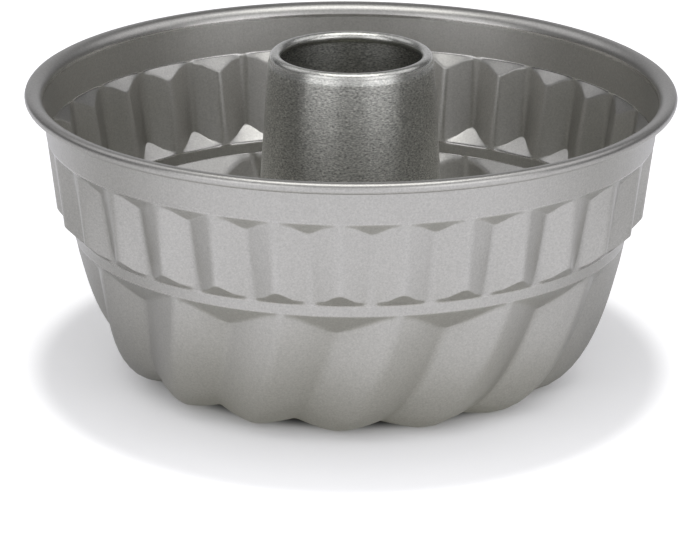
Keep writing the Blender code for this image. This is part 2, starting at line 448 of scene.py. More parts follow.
@cache
def rings_group() -> bpy.types.NodeTree:
    """Build the fine broken rings that turning leaves round the axis, once for all finishes.

    Returns:
        A group that puts out Rings, from 0 to 1.
    """
    nodes = new_group("Turned rings", ["Vector"], ["Rings per metre", "Breaks per metre"], ["Rings"])
    place = nodes.add("ShaderNodeSeparateXYZ", {"Vector": nodes.given("Vector")}).outputs
    rates = {"X": "Breaks per metre", "Y": "Breaks per metre", "Z": "Rings per metre"}
    scaled = {axis: nodes.maths("MULTIPLY", place[axis], nodes.given(rates[axis])) for axis in rates}
    stretched = nodes.add("ShaderNodeCombineXYZ", scaled).outputs["Vector"]
    streaks = nodes.noise(stretched, scale=1.0, detail=3.0, roughness=0.65)
    return nodes.give({"Rings": nodes.rise(streaks, start=0.25, end=0.75, shape=Rise.STRAIGHT)})


@cache
def haze_group() -> bpy.types.NodeTree:
    """Build the soft clouds that handling and pressing leave in a finish, once for all finishes.

    Returns:
        A group that puts out Haze, from 0 to 1.
    """
    nodes = new_group("Soft haze", ["Vector"], ["Clouds per metre"], ["Haze"])
    rate = nodes.given("Clouds per metre")
    return nodes.give({"Haze": nodes.noise(nodes.given("Vector"), rate, detail=3.0, roughness=0.55)})


@cache
def card_group() -> bpy.types.NodeTree:
    """Build one soft-edged card round the mould, once for all cards.

    Returns:
        A group that puts out Card, 1 in the card's middle and 0 outside its edge.
    """
    nodes = new_group("Soft card", ["Direction", "Towards"], ["Full cosine", "Gone cosine"], ["Card"])
    ahead = nodes.add("ShaderNodeVectorMath", {0: nodes.given("Direction")}, operation="NORMALIZE")
    both = {0: ahead.outputs["Vector"], 1: nodes.given("Towards")}
    nearness = nodes.add("ShaderNodeVectorMath", both, operation="DOT_PRODUCT").outputs["Value"]
    gone = nodes.given("Gone cosine")
    full = nodes.given("Full cosine")
    return nodes.give({"Card": nodes.rise(nearness, gone, full, Rise.EASED)})


@dataclass(frozen=True)
class Finish:
    """A metal finish with grain, haze and rings, all in its own nodes; worn places are smoother and also
    lighter, the lighter colour being a painted highlight.
    """

    name: str
    colour: Colour
    metallic: float
    roughness: float
    roughness_spread: float
    grain_rate: float
    grain_contrast: float
    grain_height: float
    haze_rate: float
    haze_contrast: float
    ring_rate: float = 0.0
    ring_break_rate: float = 0.0
    ring_contrast: float = 0.0
    ring_height: float = 0.0
    ring_stretch: float = 0.0
    wear_roughness: float = 1.0
    # Painted highlight: how much lighter the worn places are drawn.
    painted_wear_highlight: float = 0.0
    wear_smoothing: float = 0.35

    def make(self) -> bpy.types.Material:
        """Build the material.

        Returns:
            The material, with one Principled BSDF fed by the groups.
        """
        material = bpy.data.materials.new(self.name)
        material.use_nodes = True
        nodes = Nodes(material.node_tree)
        shader = material.node_tree.nodes["Principled BSDF"]
        place = nodes.add("ShaderNodeTexCoord").outputs["Object"]
        wear_and_highlight = nodes.add("ShaderNodeAttribute", attribute_name=EDGE_WEAR_AND_HIGHLIGHT).outputs["Fac"]
        grain = nodes.group(grain_group(), {"Vector": place, "Grains per metre": self.grain_rate})
        haze = nodes.group(haze_group(), {"Vector": place, "Clouds per metre": self.haze_rate})["Haze"]
        flaked = nodes.about(grain["Grain"], 0.0, self.grain_contrast)
        tone = nodes.maths("ADD", flaked, nodes.about(haze, 1.0, self.haze_contrast))
        # Painted highlight: worn edges, ridges and the lip are drawn lighter, standing in for the light
        # that they catch.
        tone = nodes.maths("MULTIPLY_ADD", wear_and_highlight, self.painted_wear_highlight, tone)
        height = nodes.maths("MULTIPLY", grain["Height"], self.grain_height)
        if self.ring_rate > 0.0:
            tangent = nodes.add("ShaderNodeTangent", direction_type="RADIAL", axis="Z")
            stretch = {"Anisotropic": self.ring_stretch, "Anisotropic Rotation": QUARTER_TURN}
            nodes.feed(shader, {"Tangent": tangent.outputs["Tangent"], **stretch})
            rates = {"Rings per metre": self.ring_rate, "Breaks per metre": self.ring_break_rate}
            rings = nodes.group(rings_group(), {"Vector": place, **rates})["Rings"]
            lines = nodes.about(rings, 0.0, self.ring_contrast)
            unworn = nodes.between(wear_and_highlight, 1.0, self.wear_smoothing)
            tone = nodes.maths("MULTIPLY_ADD", lines, unworn, tone)
            height = nodes.maths("MULTIPLY_ADD", rings, self.ring_height, height)
        rough = nodes.about(haze, self.roughness, self.roughness_spread)
        polish = nodes.between(wear_and_highlight, 1.0, self.wear_roughness)
        bump = nodes.add("ShaderNodeBump", {"Strength": 1.0, "Distance": 1.0, "Height": height})
        looks = {
            "Base Color": nodes.tinted(tone, self.colour),
            "Metallic": self.metallic,
            "Roughness": nodes.maths("MULTIPLY", rough, polish),
            "Normal": bump.outputs["Normal"],
        }
        nodes.feed(shader, looks)
        return material


SILVER_COATING = Finish(
    name="Silver coated steel",
    colour=(0.490, 0.483, 0.453),
    metallic=0.97,
    roughness=0.36,
    roughness_spread=0.03,
    grain_rate=1300.0,
    grain_contrast=0.14,
    grain_height=0.00002,
    haze_rate=28.0,
    haze_contrast=0.03,
    wear_roughness=0.4,
    painted_wear_highlight=0.03,
)

TURNED_STEEL = Finish(
    name="Turned steel",
    colour=(0.525, 0.525, 0.486),
    metallic=0.95,
    roughness=0.32,
    roughness_spread=0.03,
    grain_rate=1300.0,
    grain_contrast=0.12,
    grain_height=0.00002,
    haze_rate=40.0,
    haze_contrast=0.05,
    ring_rate=2600.0,
    ring_break_rate=1000.0,
    ring_contrast=0.80,
    ring_height=0.00003,
    ring_stretch=0.8,
    wear_roughness=0.78,
    painted_wear_highlight=0.20,
)

DRAWN_WIRE = Finish(
    name="Drawn wire",
    colour=(0.46, 0.46, 0.47),
    metallic=1.0,
    roughness=0.3,
    roughness_spread=0.05,
    grain_rate=2500.0,
    grain_contrast=0.08,
    grain_height=0.000005,
    haze_rate=60.0,
    haze_contrast=0.05,
)


# The mould


@dataclass
class CentreTube:
    """The open conical tube with its rolled lip and folded foot."""

    sheet: float = 0.0005
    gap: float = 0.0003
    top: float = 0.1214
    foot: float = 0.0130
    lip_radius: float = 0.0301
    lip_diameter: float = 0.0042
    lip_turn: float = 270.0
    shoulder: float = 0.0006
    shoulder_depth: float = 0.0026
    taper: float = 3.4
    seam_drop: float = 0.0034
    seam_hook: float = 0.0024
    sharp_angle: float = 50.0
    columns: int = 240
    lip_steps: int = 22
    neck_steps: int = 5
    wall_steps: int = 16

    @property
    def lip_centre(self) -> Point:
        """Radius and height of the lip's roll."""
        return self.lip_radius - self.lip_diameter / 2, self.top - self.lip_diameter / 2

    @property
    def shoulder_height(self) -> float:
        """Height where the cone ends under the shoulder."""
        return self.lip_centre[1] - self.shoulder_depth

    @property
    def seam_radius(self) -> float:
        """Radius of the shell's collar round the foot, on its hooked side."""
        return self.radius(self.foot) + self.gap + self.sheet

    def radius(self, height: float) -> float:
        """Return the outer radius of the cone at a height."""
        run = self.shoulder_height - height
        return self.lip_radius + self.shoulder + run * math.tan(math.radians(self.taper))

    def foot_outline(self) -> list[Point]:
        """Return the folded foot, from its free edge to the wall.

        Returns:
            The points as pairs of radius and height.
        """
        wall = self.radius(self.foot)
        hook_start = self.seam_radius + 2 * self.gap
        hook_end = self.seam_radius + self.seam_hook + self.gap
        hook_middle = (self.seam_radius + hook_end) / 2
        high = self.foot - self.seam_drop + self.gap
        low = high - self.sheet - 2 * self.gap
        middle = (high - self.gap + low) / 2
        hook = [(hook_start, high), (hook_middle, high), (hook_end, high), (hook_end, middle)]
        return hook + [(hook_end, low), ((hook_end + wall) / 2, low), (wall, low)]

    def outline(self) -> list[Point]:
        """Return the drawn face, from the foot's free edge to the end of the rolled lip.

        Returns:
            The points as pairs of radius and height.
        """
        points = self.foot_outline()
        for step in range(self.wall_steps + 1):
            height = self.foot + (self.shoulder_height - self.foot) * step / self.wall_steps
            points.append((self.radius(height), height))
        for step in range(1, self.neck_steps):
            share = step / self.neck_steps
            ease = share * share * (3 - 2 * share)
            height = self.shoulder_height + self.shoulder_depth * share
            points.append((self.lip_radius + self.shoulder * (1 - ease), height))
        lip = arc_points(self.lip_centre, self.lip_diameter / 2, 0.0, self.lip_turn, self.lip_steps)
        return points + lip

    def lip_wear_and_highlight(self, tube: bpy.types.Object) -> Array:
        """Return how far handling has polished each point, from none at the shoulder to the lip; the same
        share lightens the lip as a painted highlight.
        """
        heights = np.array([point.co.z for point in tube.data.vertices])
        return np.clip((heights - self.shoulder_height) / self.shoulder_depth, 0.0, 1.0)

    def build(self) -> bpy.types.Object:
        """Model the tube and dress it.

        Returns:
            The finished piece.
        """
        tube = spin_outline("turned_tube", self.outline(), self.columns)
        face_outwards(tube, self.foot, self.shoulder_height)
        note_wear_and_highlight(tube, self.lip_wear_and_highlight(tube))
        thicken(tube, self.sheet)
        shade_smooth(tube, self.sharp_angle)
        tube.data.materials.append(TURNED_STEEL.make())
        hand_over(tube, "centre_tube")
        return tube


@dataclass
class FluteOutline:
    """The outline of a flute's crest as a fine chain, with its normals and the length up to each point."""

    points: Array
    normals: Array
    lengths: Array
    crest_length: float

    @property
    def end_length(self) -> float:
        """Length of the whole outline."""
        return self.lengths[-1]

    def at(self, lengths: Array) -> tuple[Array, Array, Array, Array]:
        """Return the outline at lengths along it.

        Args:
            lengths: Distances from the outline's start.

        Returns:
            Radii, heights and the two parts of the unit normal into the metal.
        """
        columns = (*self.points.T, *self.normals.T)
        return tuple(np.interp(lengths, self.lengths, column) for column in columns)


@dataclass
class PressedRows:
    """The shell's points, row by row: radii, heights, turns round the axis, and how worn each is, which
    also sets its painted highlight.
    """

    radii: list[Array] = field(default_factory=list)
    heights: list[Array] = field(default_factory=list)
    turns: list[Array] = field(default_factory=list)
    wear_and_highlight: list[Array] = field(default_factory=list)

    def add(self, *row: Array) -> None:
        """Add a row's radii, heights, turns, and how worn it is, which also sets its painted highlight."""
        for part, values in zip((self.radii, self.heights, self.turns, self.wear_and_highlight), row):
            part.append(values)

    def first_column(self) -> list[Point]:
        """Return radius and height of the first column's points."""
        return [(radii[0], heights[0]) for radii, heights in zip(self.radii, self.heights)]


@dataclass
class PressedShell:
    """The pressed body, from its rolled rim down to its folded inner edge."""

    tube: CentreTube
    # Rim and collar
    sheet: float = 0.0005
    rim_radius: float = 0.120
    rim_height: float = 0.108
    bead_diameter: float = 0.0043
    flare_radius: float = 0.0042
    curl_turn: float = 255.0
    wall_taper: float = 7.2
    collar_depth: float = 0.0174
    collar_edge: float = 0.00008
    # Ribs and plain ring
    rib_band: float = 0.0330
    rib_top_slope: float = 0.0047
    rib_foot_slope: float = 0.0054
    rib_top_depth: float = 0.0032
    ring_step: float = 0.0053
    ring_height: float = 0.0043
    flutes: int = 15
    ribs_per_flute: int = 2
    rib_ridge_flat: float = 0.35
    rib_head_flat: float = 0.90
    rib_groove_flat: float = 0.40
    rib_foot_flat: float = 1.55
    rib_flat_reach: float = 0.22
    rib_rounding: float = 0.30
    # Flutes and crown
    flute_flat: float = 0.7
    flute_rounding: float = 0.6
    flute_lead: float = 0.0090
    flute_lead_taper: float = 11.5
    flute_start_taper: float = 18.0
    flute_start_reach: float = 0.008
    crest_radius: float = 0.068
    crest_reach: float = 0.022
    crest_flat: float = 0.004
    depth_top: float = 0.0049
    depth_middle: float = 0.0052
    depth_crest: float = 0.0032
    roundness: float = 0.35
    rounding_power: float = 1.5
    swirl_start: float = 6.0
    swirl_gain: float = 9.0
    crown_reach: float = 0.010
    # Folded inner edge
    seam_flange: float = 0.0065
    seam_bend: float = 0.0006
    # Roundings, and worn edges that also carry a painted highlight
    slope_rounding: float = 0.0004
    edge_rounding: float = 0.0002
    edge_run: float = 0.0006
    rib_blend: float = 0.0003
    flute_blend: float = 0.0009
    blend_share: float = 0.6
    least_blend: float = 1e-7
    worn_and_highlit_width: float = 0.0005
    ridge_wear_and_highlight: float = 0.25
    sharp_angle: float = 60.0
    # Steps, and where the rows near an edge lie
    curl_steps: int = 12
    flare_steps: int = 8
    lead_steps: int = 20
    chain_steps: int = 200
    rib_steps: int = 3
    flute_steps: int = 14
    crown_steps: int = 7
    bend_steps: int = 4
    flare_margin: float = 0.0007
    collar_middle: float = 0.0045
    collar_margin: float = 0.0010
    edge_rows: tuple[float, ...] = (-0.0006, -0.0002, 0.0001, 0.0004)
    slope_margin: float = 0.0007
    slope_rows: tuple[Point, ...] = (
        (0.00095, -0.00045),
        (0.00115, -0.00012),
        (0.00135, 0.0002),
        (0.0016, 0.00055),
    )
    ring_rows: tuple[float, ...] = (0.0008, 0.0004, 0.0001)
    shelf_head_rows: tuple[float, ...] = (0.0002, 0.0005)
    shelf_shares: tuple[float, ...] = (0.35, 0.7)
    shelf_end_rows: tuple[float, ...] = (-0.0011, -0.0004, 0.0003, 0.0011)
    row_gap: float = 0.0004
    hook_margin: float = 0.0010
    columns: int = field(init=False)

    def __post_init__(self) -> None:
        """Work out how many columns go round the axis."""
        self.columns = len(self.column_angles())

    @property
    def flute_pitch(self) -> float:
        """Angle from one flute to the next."""
        return 360.0 / self.flutes

    @property
    def rib_pitch(self) -> float:
        """Angle from one rib to the next."""
        return self.flute_pitch / self.ribs_per_flute

    @property
    def bead_centre(self) -> Point:
        """Radius and height of the rolled rim's middle."""
        return self.rim_radius - self.bead_diameter / 2, self.rim_height - self.bead_diameter / 2

    @property
    def wall_top(self) -> Point:
        """Radius and height of the wall's outer face under the flare."""
        return self.bead_centre[0] - self.flare_radius, self.rim_height - self.sheet - self.flare_radius

    @property
    def band_top(self) -> float:
        """Height of the collar's lower edge."""
        return self.rim_height - self.collar_depth

    @property
    def ring_bottom(self) -> float:
        """Height of the plain ring's lower edge."""
        return self.band_top - self.rib_band - self.ring_height

    def wall_radius(self, height: Array | float) -> Array | float:
        """Return the plain wall's outer radius at a height."""
        return self.wall_top[0] - (self.wall_top[1] - height) * math.tan(math.radians(self.wall_taper))

    def blend(self, depth: Array, most: float) -> Array:
        """Return how widely two slopes are rounded where they meet, less where they are shallow."""
        return np.clip(self.blend_share * depth, self.least_blend, most)

    def column_angles(self) -> Array:
        """Return the columns' angles, crowded on a rib's ridge and in its groove.

        Returns:
            The angles round the axis, from 0 up.
        """
        half = self.rib_pitch / 2
        rounding = self.rib_rounding
        ridge_end = self.rib_ridge_flat + rounding
        groove_start = half - self.rib_groove_flat - rounding / 2
        ridge = [0.0, self.rib_ridge_flat / 2, ridge_end, self.rib_head_flat + rounding]
        groove = [half - self.rib_foot_flat, groove_start - rounding, groove_start]
        groove.append(half - self.rib_groove_flat / 2)
        rise = ridge + [(ridge[-1] + groove[0]) / 2] + groove
        one_rib = rise + [half] + [self.rib_pitch - angle for angle in rise[:0:-1]]
        ribs = self.flutes * self.ribs_per_flute
        return np.array([rib * self.rib_pitch + angle for rib in range(ribs) for angle in one_rib])

    def rib_fold(self, angles: Array, run: Array | float) -> Array:
        """Return the ribs' share of their depth, with ridges blunt at the head and grooves at the foot.

        Args:
            angles: The columns' angles.
            run: 0 at the ribs' head and 1 at their foot.

        Returns:
            The share at each angle.
        """
        head = np.clip(1 - run / self.rib_flat_reach, 0.0, 1.0)
        foot = np.clip(1 - (1 - run) / self.rib_flat_reach, 0.0, 1.0)
        ridge_flat = self.rib_ridge_flat + (self.rib_head_flat - self.rib_ridge_flat) * head
        groove_flat = self.rib_groove_flat + (self.rib_foot_flat - self.rib_groove_flat) * foot
        return fold(angles, self.rib_pitch, ridge_flat, groove_flat, self.rib_rounding)

    def flute_fold(self, angles: Array) -> Array:
        """Return the flutes' share of their depth at angles round the axis."""
        return fold(angles, self.flute_pitch, self.flute_flat, self.flute_flat, self.flute_rounding)

    def rim_rows(self) -> list[Point]:
        """Return the rolled rim, from the sheet's curled edge to the collar.

        Returns:
            Radius and height of each row.
        """
        inner = self.bead_diameter / 2 - self.sheet
        curl = arc_points(self.bead_centre, inner, 90.0 - self.curl_turn, self.curl_turn, self.curl_steps)
        flare_centre = (self.bead_centre[0], self.wall_top[1])
        flare_turn = 90.0 - self.wall_taper
        flare = arc_points(flare_centre, self.flare_radius, 90.0, flare_turn, self.flare_steps)
        heights = [self.wall_top[1] - self.flare_margin, self.wall_top[1] - self.collar_middle]
        heights.append(self.band_top + self.collar_margin)
        return curl + flare[1:] + [(self.wall_radius(height), height) for height in heights]

    def rib_drops(self, angles: Array) -> list[Array]:
        """Return how far each row of the rib band lies under the collar, column by column.

        Args:
            angles: The columns' angles.

        Returns:
            One array to a row, from the collar's edge to the ring's lower edge.
        """
        band = self.rib_band
        ring_end = band + self.ring_height
        level = np.ones_like(angles)
        upper = self.rib_top_slope * self.rib_fold(angles, 0.0)
        lower = band - self.rib_foot_slope * (1 - self.rib_fold(angles, 1.0))
        head = [level * drop for drop in self.edge_rows]
        head.append(np.maximum(self.slope_margin, upper / 2))
        head += [np.maximum(least, upper + offset) for least, offset in self.slope_rows]
        foot = [np.minimum(band - least, lower - offset) for least, offset in self.slope_rows[::-1]]
        foot.append(np.minimum(band - self.slope_margin, (lower + band) / 2))
        foot += [level * (band - drop) for drop in self.edge_rows[::-1]]
        steps = range(1, self.rib_steps)
        middle = [head[-1] + (foot[0] - head[-1]) * step / self.rib_steps for step in steps]
        ring = [level * (band + self.ring_height / 2)]
        ring += [level * (ring_end - rise) for rise in self.ring_rows]
        return head + middle + foot + ring

    def rib_depth(self, angles: Array, drop: Array) -> Array:
        """Return how deep the rib band lies behind the plain wall.

        Args:
            angles: The columns' angles.
            drop: How far each point lies under the collar's edge.

        Returns:
            The depth at each point.
        """
        run = np.clip((drop - self.rib_top_slope) / (self.rib_band - self.rib_top_slope), 0.0, 1.0)
        full = self.rib_top_depth + (self.ring_step - self.rib_top_depth) * run
        flank = full * self.rib_fold(angles, run)
        shelf = soft_ramp(drop, self.slope_rounding) * self.rib_top_depth / self.rib_top_slope
        upper = soft_min(shelf, flank, self.blend(shelf, self.rib_blend))
        edge = self.collar_edge * np.clip(soft_ramp(drop, self.edge_rounding) / self.edge_run, 0.0, 1.0)
        foot_slope = self.ring_step / self.rib_foot_slope
        above_ring = soft_ramp(self.rib_band - drop, self.slope_rounding) * foot_slope
        foot = self.ring_step - above_ring
        return soft_max(np.maximum(upper, edge), foot, self.blend(above_ring, self.rib_blend))

    def flute_outline(self) -> FluteOutline:
        """Return the flute crest's outline, from the ring's lower edge to the crown's inner edge.

        Returns:
            The outline, with the length at which it reaches the crest's flat.
        """
        start = Vector((self.wall_radius(self.ring_bottom) - self.ring_step, self.ring_bottom))
        lead_end = start - self.flute_lead * up_the_taper(self.flute_lead_taper)
        handle = lead_end - self.flute_start_reach * up_the_taper(self.flute_start_taper)
        outer = Vector((self.crest_radius + self.crest_flat / 2, 0.0))
        inner = Vector((self.crest_radius - self.crest_flat / 2, 0.0))
        end = Vector((self.tube.seam_radius + self.seam_flange, self.tube.foot))
        reach = Vector((self.crown_reach, 0.0))
        outer_curve = (lead_end, handle, outer + Vector((self.crest_reach, 0.0)), outer)
        inner_curve = (inner, inner - reach, end + reach, end)
        shares = [step / self.chain_steps for step in range(self.chain_steps + 1)]
        chain = [start.lerp(lead_end, step / self.lead_steps) for step in range(self.lead_steps)]
        chain += [bezier_point(outer_curve, share) for share in shares]
        crest = len(chain) - 1
        chain += [bezier_point(inner_curve, share) for share in shares]
        points = np.array([tuple(point) for point in chain])
        steps = np.linalg.norm(np.diff(points, axis=0), axis=1)
        lengths = np.concatenate([[0.0], np.cumsum(steps)])
        tangents = np.gradient(points, lengths, axis=0)
        normals = np.stack([tangents[:, 1], -tangents[:, 0]], axis=1)
        normals /= np.linalg.norm(normals, axis=1)[:, None]
        return FluteOutline(points, normals, lengths, lengths[crest])

    def flute_lengths(self, angles: Array, outline: FluteOutline) -> list[Array]:
        """Return how far along the outline each row of the flutes lies, column by column.

        Args:
            angles: The columns' angles.
            outline: The crest's outline.

        Returns:
            One array to a row, from under the ring to the crown's inner edge.
        """
        level = np.ones_like(angles)
        crest = outline.crest_length
        flat_end = crest + self.crest_flat
        shelf_end = self.flute_lead * self.flute_fold(angles)
        rows = [level * length for length in self.shelf_head_rows]
        wanted = [shelf_end * share for share in self.shelf_shares]
        wanted += [shelf_end + offset for offset in self.shelf_end_rows]
        for lengths in wanted:
            rows.append(np.maximum(rows[-1] + self.row_gap, lengths))
        last = rows[-1]
        for step in range(1, self.flute_steps + 1):
            rows.append(last + (crest - last) * step / self.flute_steps)
        rows.append(level * (crest + flat_end) / 2)
        for step in range(self.crown_steps + 1):
            rows.append(level * (flat_end + (outline.end_length - flat_end) * step / self.crown_steps))
        return rows

    def flute_point(
        self, angles: Array, lengths: Array, outline: FluteOutline
    ) -> tuple[Array, Array, Array]:
        """Return radii, heights and turns of points on the flutes.

        Args:
            angles: The columns' angles.
            lengths: How far along the outline each point lies.
            outline: The crest's outline.

        Returns:
            Radii, heights, and how far each point has turned round the axis.
        """
        run = lengths / outline.crest_length
        end = outline.end_length / outline.crest_length
        upper = self.depth_top * (1 - run) * (1 - 2 * run) + self.depth_middle * 4 * run * (1 - run)
        upper += self.depth_crest * run * (2 * run - 1)
        lower = self.depth_crest * (end - run) / (end - 1)
        full = np.where(run > 1.0, lower, upper)
        power = 1 + self.roundness * np.minimum(run, 1.0) ** self.rounding_power
        flank = full * self.flute_fold(angles) ** power
        shelf = soft_ramp(lengths, self.slope_rounding) * self.depth_top / self.flute_lead
        depth = soft_min(shelf, flank, self.blend(shelf, self.flute_blend))
        radius, height, across, along = outline.at(lengths)
        near = self.swirl_start * run + self.swirl_gain * run**2
        far = self.swirl_start + self.swirl_gain + (self.swirl_start + 2 * self.swirl_gain) * (run - 1)
        turn = np.where(run > 1.0, far, near)
        return radius + across * depth, height + along * depth, turn

    def seam_rows(self) -> list[Point]:
        """Return the folded inner edge, from the crown to the end of its hook.

        Returns:
            Radius and height of each row.
        """
        collar = self.tube.seam_radius
        top = self.tube.foot
        hook = top - self.tube.seam_drop
        bend_centre = (collar + self.seam_bend, top - self.seam_bend)
        bend = arc_points(bend_centre, self.seam_bend, 90.0, 90.0, self.bend_steps)
        middle = ((collar + self.seam_flange + bend_centre[0]) / 2, top)
        hook_rows = [(collar + self.tube.seam_hook * share, hook) for share in (0.0, 0.5, 1.0)]
        return [middle] + bend + [(collar, hook + self.hook_margin)] + hook_rows

    def rim_wear_and_highlight(self) -> list[float]:
        """Return how worn each row of the rim is: only where the flare meets the collar, where it also
        paints a light line as a highlight.
        """
        worn_row = self.curl_steps + self.flare_steps
        return [float(row == worn_row) for row in range(len(self.rim_rows()))]

    def rib_wear_and_highlight(self, angles: Array, drop: Array) -> Array:
        """Return how worn the rib band is: on the edges of the collar and the ring, and on the ridges,
        where it also paints light lines as highlights.

        Args:
            angles: The columns' angles.
            drop: How far each point lies under the collar's edge.

        Returns:
            How worn each point is, from 0 to 1, which also sets its painted highlight.
        """
        edges = np.zeros_like(angles)
        for edge in (0.0, self.rib_band, self.rib_band + self.ring_height):
            edges = np.maximum(edges, 1 - np.abs(drop - edge) / self.worn_and_highlit_width)
        ridge_end = self.rib_ridge_flat + self.rib_rounding
        ridge = self.ridge_wear_and_highlight * (1 - off_ridge(angles, self.rib_pitch) / ridge_end)
        on_rib = (drop > 0.0) & (drop < self.rib_band - self.rib_foot_slope)
        return np.clip(np.maximum(edges, ridge * on_rib), 0.0, 1.0)

    def rows(self) -> PressedRows:
        """Return every point of the shell's drawn face.

        Returns:
            The points by row and column.
        """
        angles = self.column_angles()
        level = np.ones_like(angles)
        none = np.zeros_like(angles)
        rows = PressedRows()
        for (radius, height), wear_and_highlight in zip(self.rim_rows(), self.rim_wear_and_highlight()):
            rows.add(level * radius, level * height, none, level * wear_and_highlight)
        for drop in self.rib_drops(angles):
            height = self.band_top - drop
            radius = self.wall_radius(height) - self.rib_depth(angles, drop)
            rows.add(radius, height, none, self.rib_wear_and_highlight(angles, drop))
        outline = self.flute_outline()
        for lengths in self.flute_lengths(angles, outline):
            rows.add(*self.flute_point(angles, lengths, outline), none)
        for radius, height in self.seam_rows():
            rows.add(level * radius, level * height, rows.turns[-1], none)
        return rows

    def press(self, blank: bpy.types.Object, rows: PressedRows) -> None:
        """Press the spun blank into the ribs and flutes, by moving its points, and note its worn edges,
        which also carry a painted highlight.

        Args:
            blank: The blank, spun from the first column's outline.
            rows: The points by row and column.
        """
        parts = (rows.radii, rows.heights, rows.turns, rows.wear_and_highlight)
        radii, heights, turns, wear_and_highlight = (np.array(part) for part in parts)
        mesh = blank.data
        flat = np.empty(len(mesh.vertices) * 3)
        mesh.vertices.foreach_get("co", flat)
        points = flat.reshape(-1, 3)
        radius = np.hypot(points[:, 0], points[:, 1])
        angle = np.degrees(np.arctan2(points[:, 1], points[:, 0]))
        column = np.round(angle / 360.0 * self.columns).astype(int) % self.columns
        across = radius[:, None] - radii[None, :, 0]
        along = points[:, 2][:, None] - heights[None, :, 0]
        row = np.argmin(across**2 + along**2, axis=1)
        turned = np.radians(self.column_angles()[column] - turns[row, column])
        points[:, 0] = radii[row, column] * np.cos(turned)
        points[:, 1] = radii[row, column] * np.sin(turned)
        points[:, 2] = heights[row, column]
        mesh.vertices.foreach_set("co", points.reshape(-1))
        note_wear_and_highlight(blank, wear_and_highlight[row, column])
        mesh.update()

    def build(self) -> bpy.types.Object:
        """Model the shell and dress it.

        Returns:
            The finished piece.
        """
        rows = self.rows()
        shell = spin_outline("pressed_shell", rows.first_column(), self.columns)
        self.press(shell, rows)
        face_outwards(shell, self.band_top, self.wall_top[1])
        thicken(shell, self.sheet)
        shade_smooth(shell, self.sharp_angle)
        shell.data.materials.append(SILVER_COATING.make())
        hand_over(shell, "fluted_shell")
        return shell


@dataclass
class RimWire:
    """The wire ring that the rim is curled round."""

    shell: PressedShell
    diameter: float = 0.0023
    sharp_angle: float = 60.0
    sides: int = 16
    columns: int = 192

    def build(self) -> bpy.types.Object:
        """Model the wire and dress it.

        Returns:
            The finished piece.
        """
        outline = arc_points(self.shell.bead_centre, self.diameter / 2, 0.0, 360.0, self.sides)[:-1]
        wire = spin_outline("curled_in_wire", outline, self.columns, closed=True)
        shade_smooth(wire, self.sharp_angle)
        wire.data.materials.append(DRAWN_WIRE.make())
        hand_over(wire, "rim_wire")
        return wire


# The studio


@dataclass
class PhotoCamera:
    """The photograph's camera, found from the rim's ellipse and the ribs."""

    rim_height: float
    distance: float = 1.9548
    elevation: float = 16.38
    turn: float = 7.86
    pan: float = -0.01
    tilt: float = -1.99
    roll: float = -0.34
    focal_pixels: float = 5312.0
    image_width: int = 698
    sensor: float = 36.0
    farthest: float = 20.0

    @staticmethod
    def swing(first: Vector, second: Vector, angle: float) -> tuple[Vector, Vector]:
        """Turn two unit vectors in their own plane by an angle."""
        cosine, sine = math.cos(math.radians(angle)), math.sin(math.radians(angle))
        return first * cosine - second * sine, first * sine + second * cosine

    def build(self) -> bpy.types.Object:
        """Make the camera and use it for the scene.

        Returns:
            The camera.
        """
        lift = math.radians(self.elevation)
        ahead = Vector((0.0, math.cos(lift), -math.sin(lift)))
        place = Vector((0.0, 0.0, self.rim_height)) - self.distance * ahead
        right = Vector((1.0, 0.0, 0.0))
        upward = right.cross(ahead)
        right, ahead = self.swing(right, ahead, self.pan)
        upward, ahead = self.swing(upward, ahead, self.tilt)
        right, upward = self.swing(right, upward, self.roll)
        pose = Matrix((right, upward, -ahead)).transposed().to_4x4()
        pose.translation = place
        bpy.ops.object.camera_add()
        camera = bpy.context.object
        camera.name = "photo_camera"
        camera.data.sensor_width = self.sensor
        camera.data.lens = self.focal_pixels / self.image_width * self.sensor
        camera.data.clip_end = self.farthest
        camera.matrix_world = Matrix.Rotation(math.radians(self.turn), 4, "Z") @ pose
        bpy.context.scene.camera = camera
        LOG.info("camera: lens %.0f mm", camera.data.lens)
        return camera


@dataclass(frozen=True)
class SoftCard:
    """A white card far away, even out to one angle from its middle and gone at another."""

    azimuth: float
    elevation: float
    full: float
    gone: float
    strength: float

    def shine(self, nodes: Nodes, direction: Socket, turn: float) -> Socket:
        """Add the card's nodes.

        Args:
            nodes: The tree that the card goes in.
            direction: The direction in which a ray looks, or a place on the floor as seen from the axis.
            turn: How far the studio is turned round the axis, with the camera.

        Returns:
            The card's light.
        """
        across = math.radians(self.azimuth + turn)
        lift = math.radians(self.elevation)
        level = math.cos(lift)
        inputs = {
            "Direction": direction,
            "Towards": (level * math.sin(across), -level * math.cos(across), math.sin(lift)),
            "Full cosine": math.cos(math.radians(self.full)),
            "Gone cosine": math.cos(math.radians(self.gone)),
        }
        return nodes.maths("MULTIPLY", nodes.group(card_group(), inputs)["Card"], self.strength)


@dataclass(frozen=True)
class FloorShade:
    """A ring mask round the mould for painted shadow and painted glow on the floor, in circles or in ovals
    that lie across the view.
    """

    start: float
    end: float
    stretch: float
    strength: float

    def shine(self, nodes: Nodes, place: Socket, turn: float) -> Socket:
        """Add the shade's nodes.

        Args:
            nodes: The tree that the shade goes in.
            place: The place on the floor.
            turn: How far the studio is turned round the axis, with the camera.

        Returns:
            0 near the mould, and the strength far from it.
        """
        inputs = {
            "Vector": place,
            "Rotation": (0.0, 0.0, math.radians(turn)),
            "Scale": (self.stretch, 1.0, 1.0),
        }
        turned = nodes.add("ShaderNodeMapping", inputs, vector_type="TEXTURE").outputs["Vector"]
        away = nodes.add("ShaderNodeVectorMath", {0: turned}, operation="LENGTH").outputs["Value"]
        return nodes.maths("MULTIPLY", nodes.rise(away, self.start, self.end, Rise.EASED), self.strength)


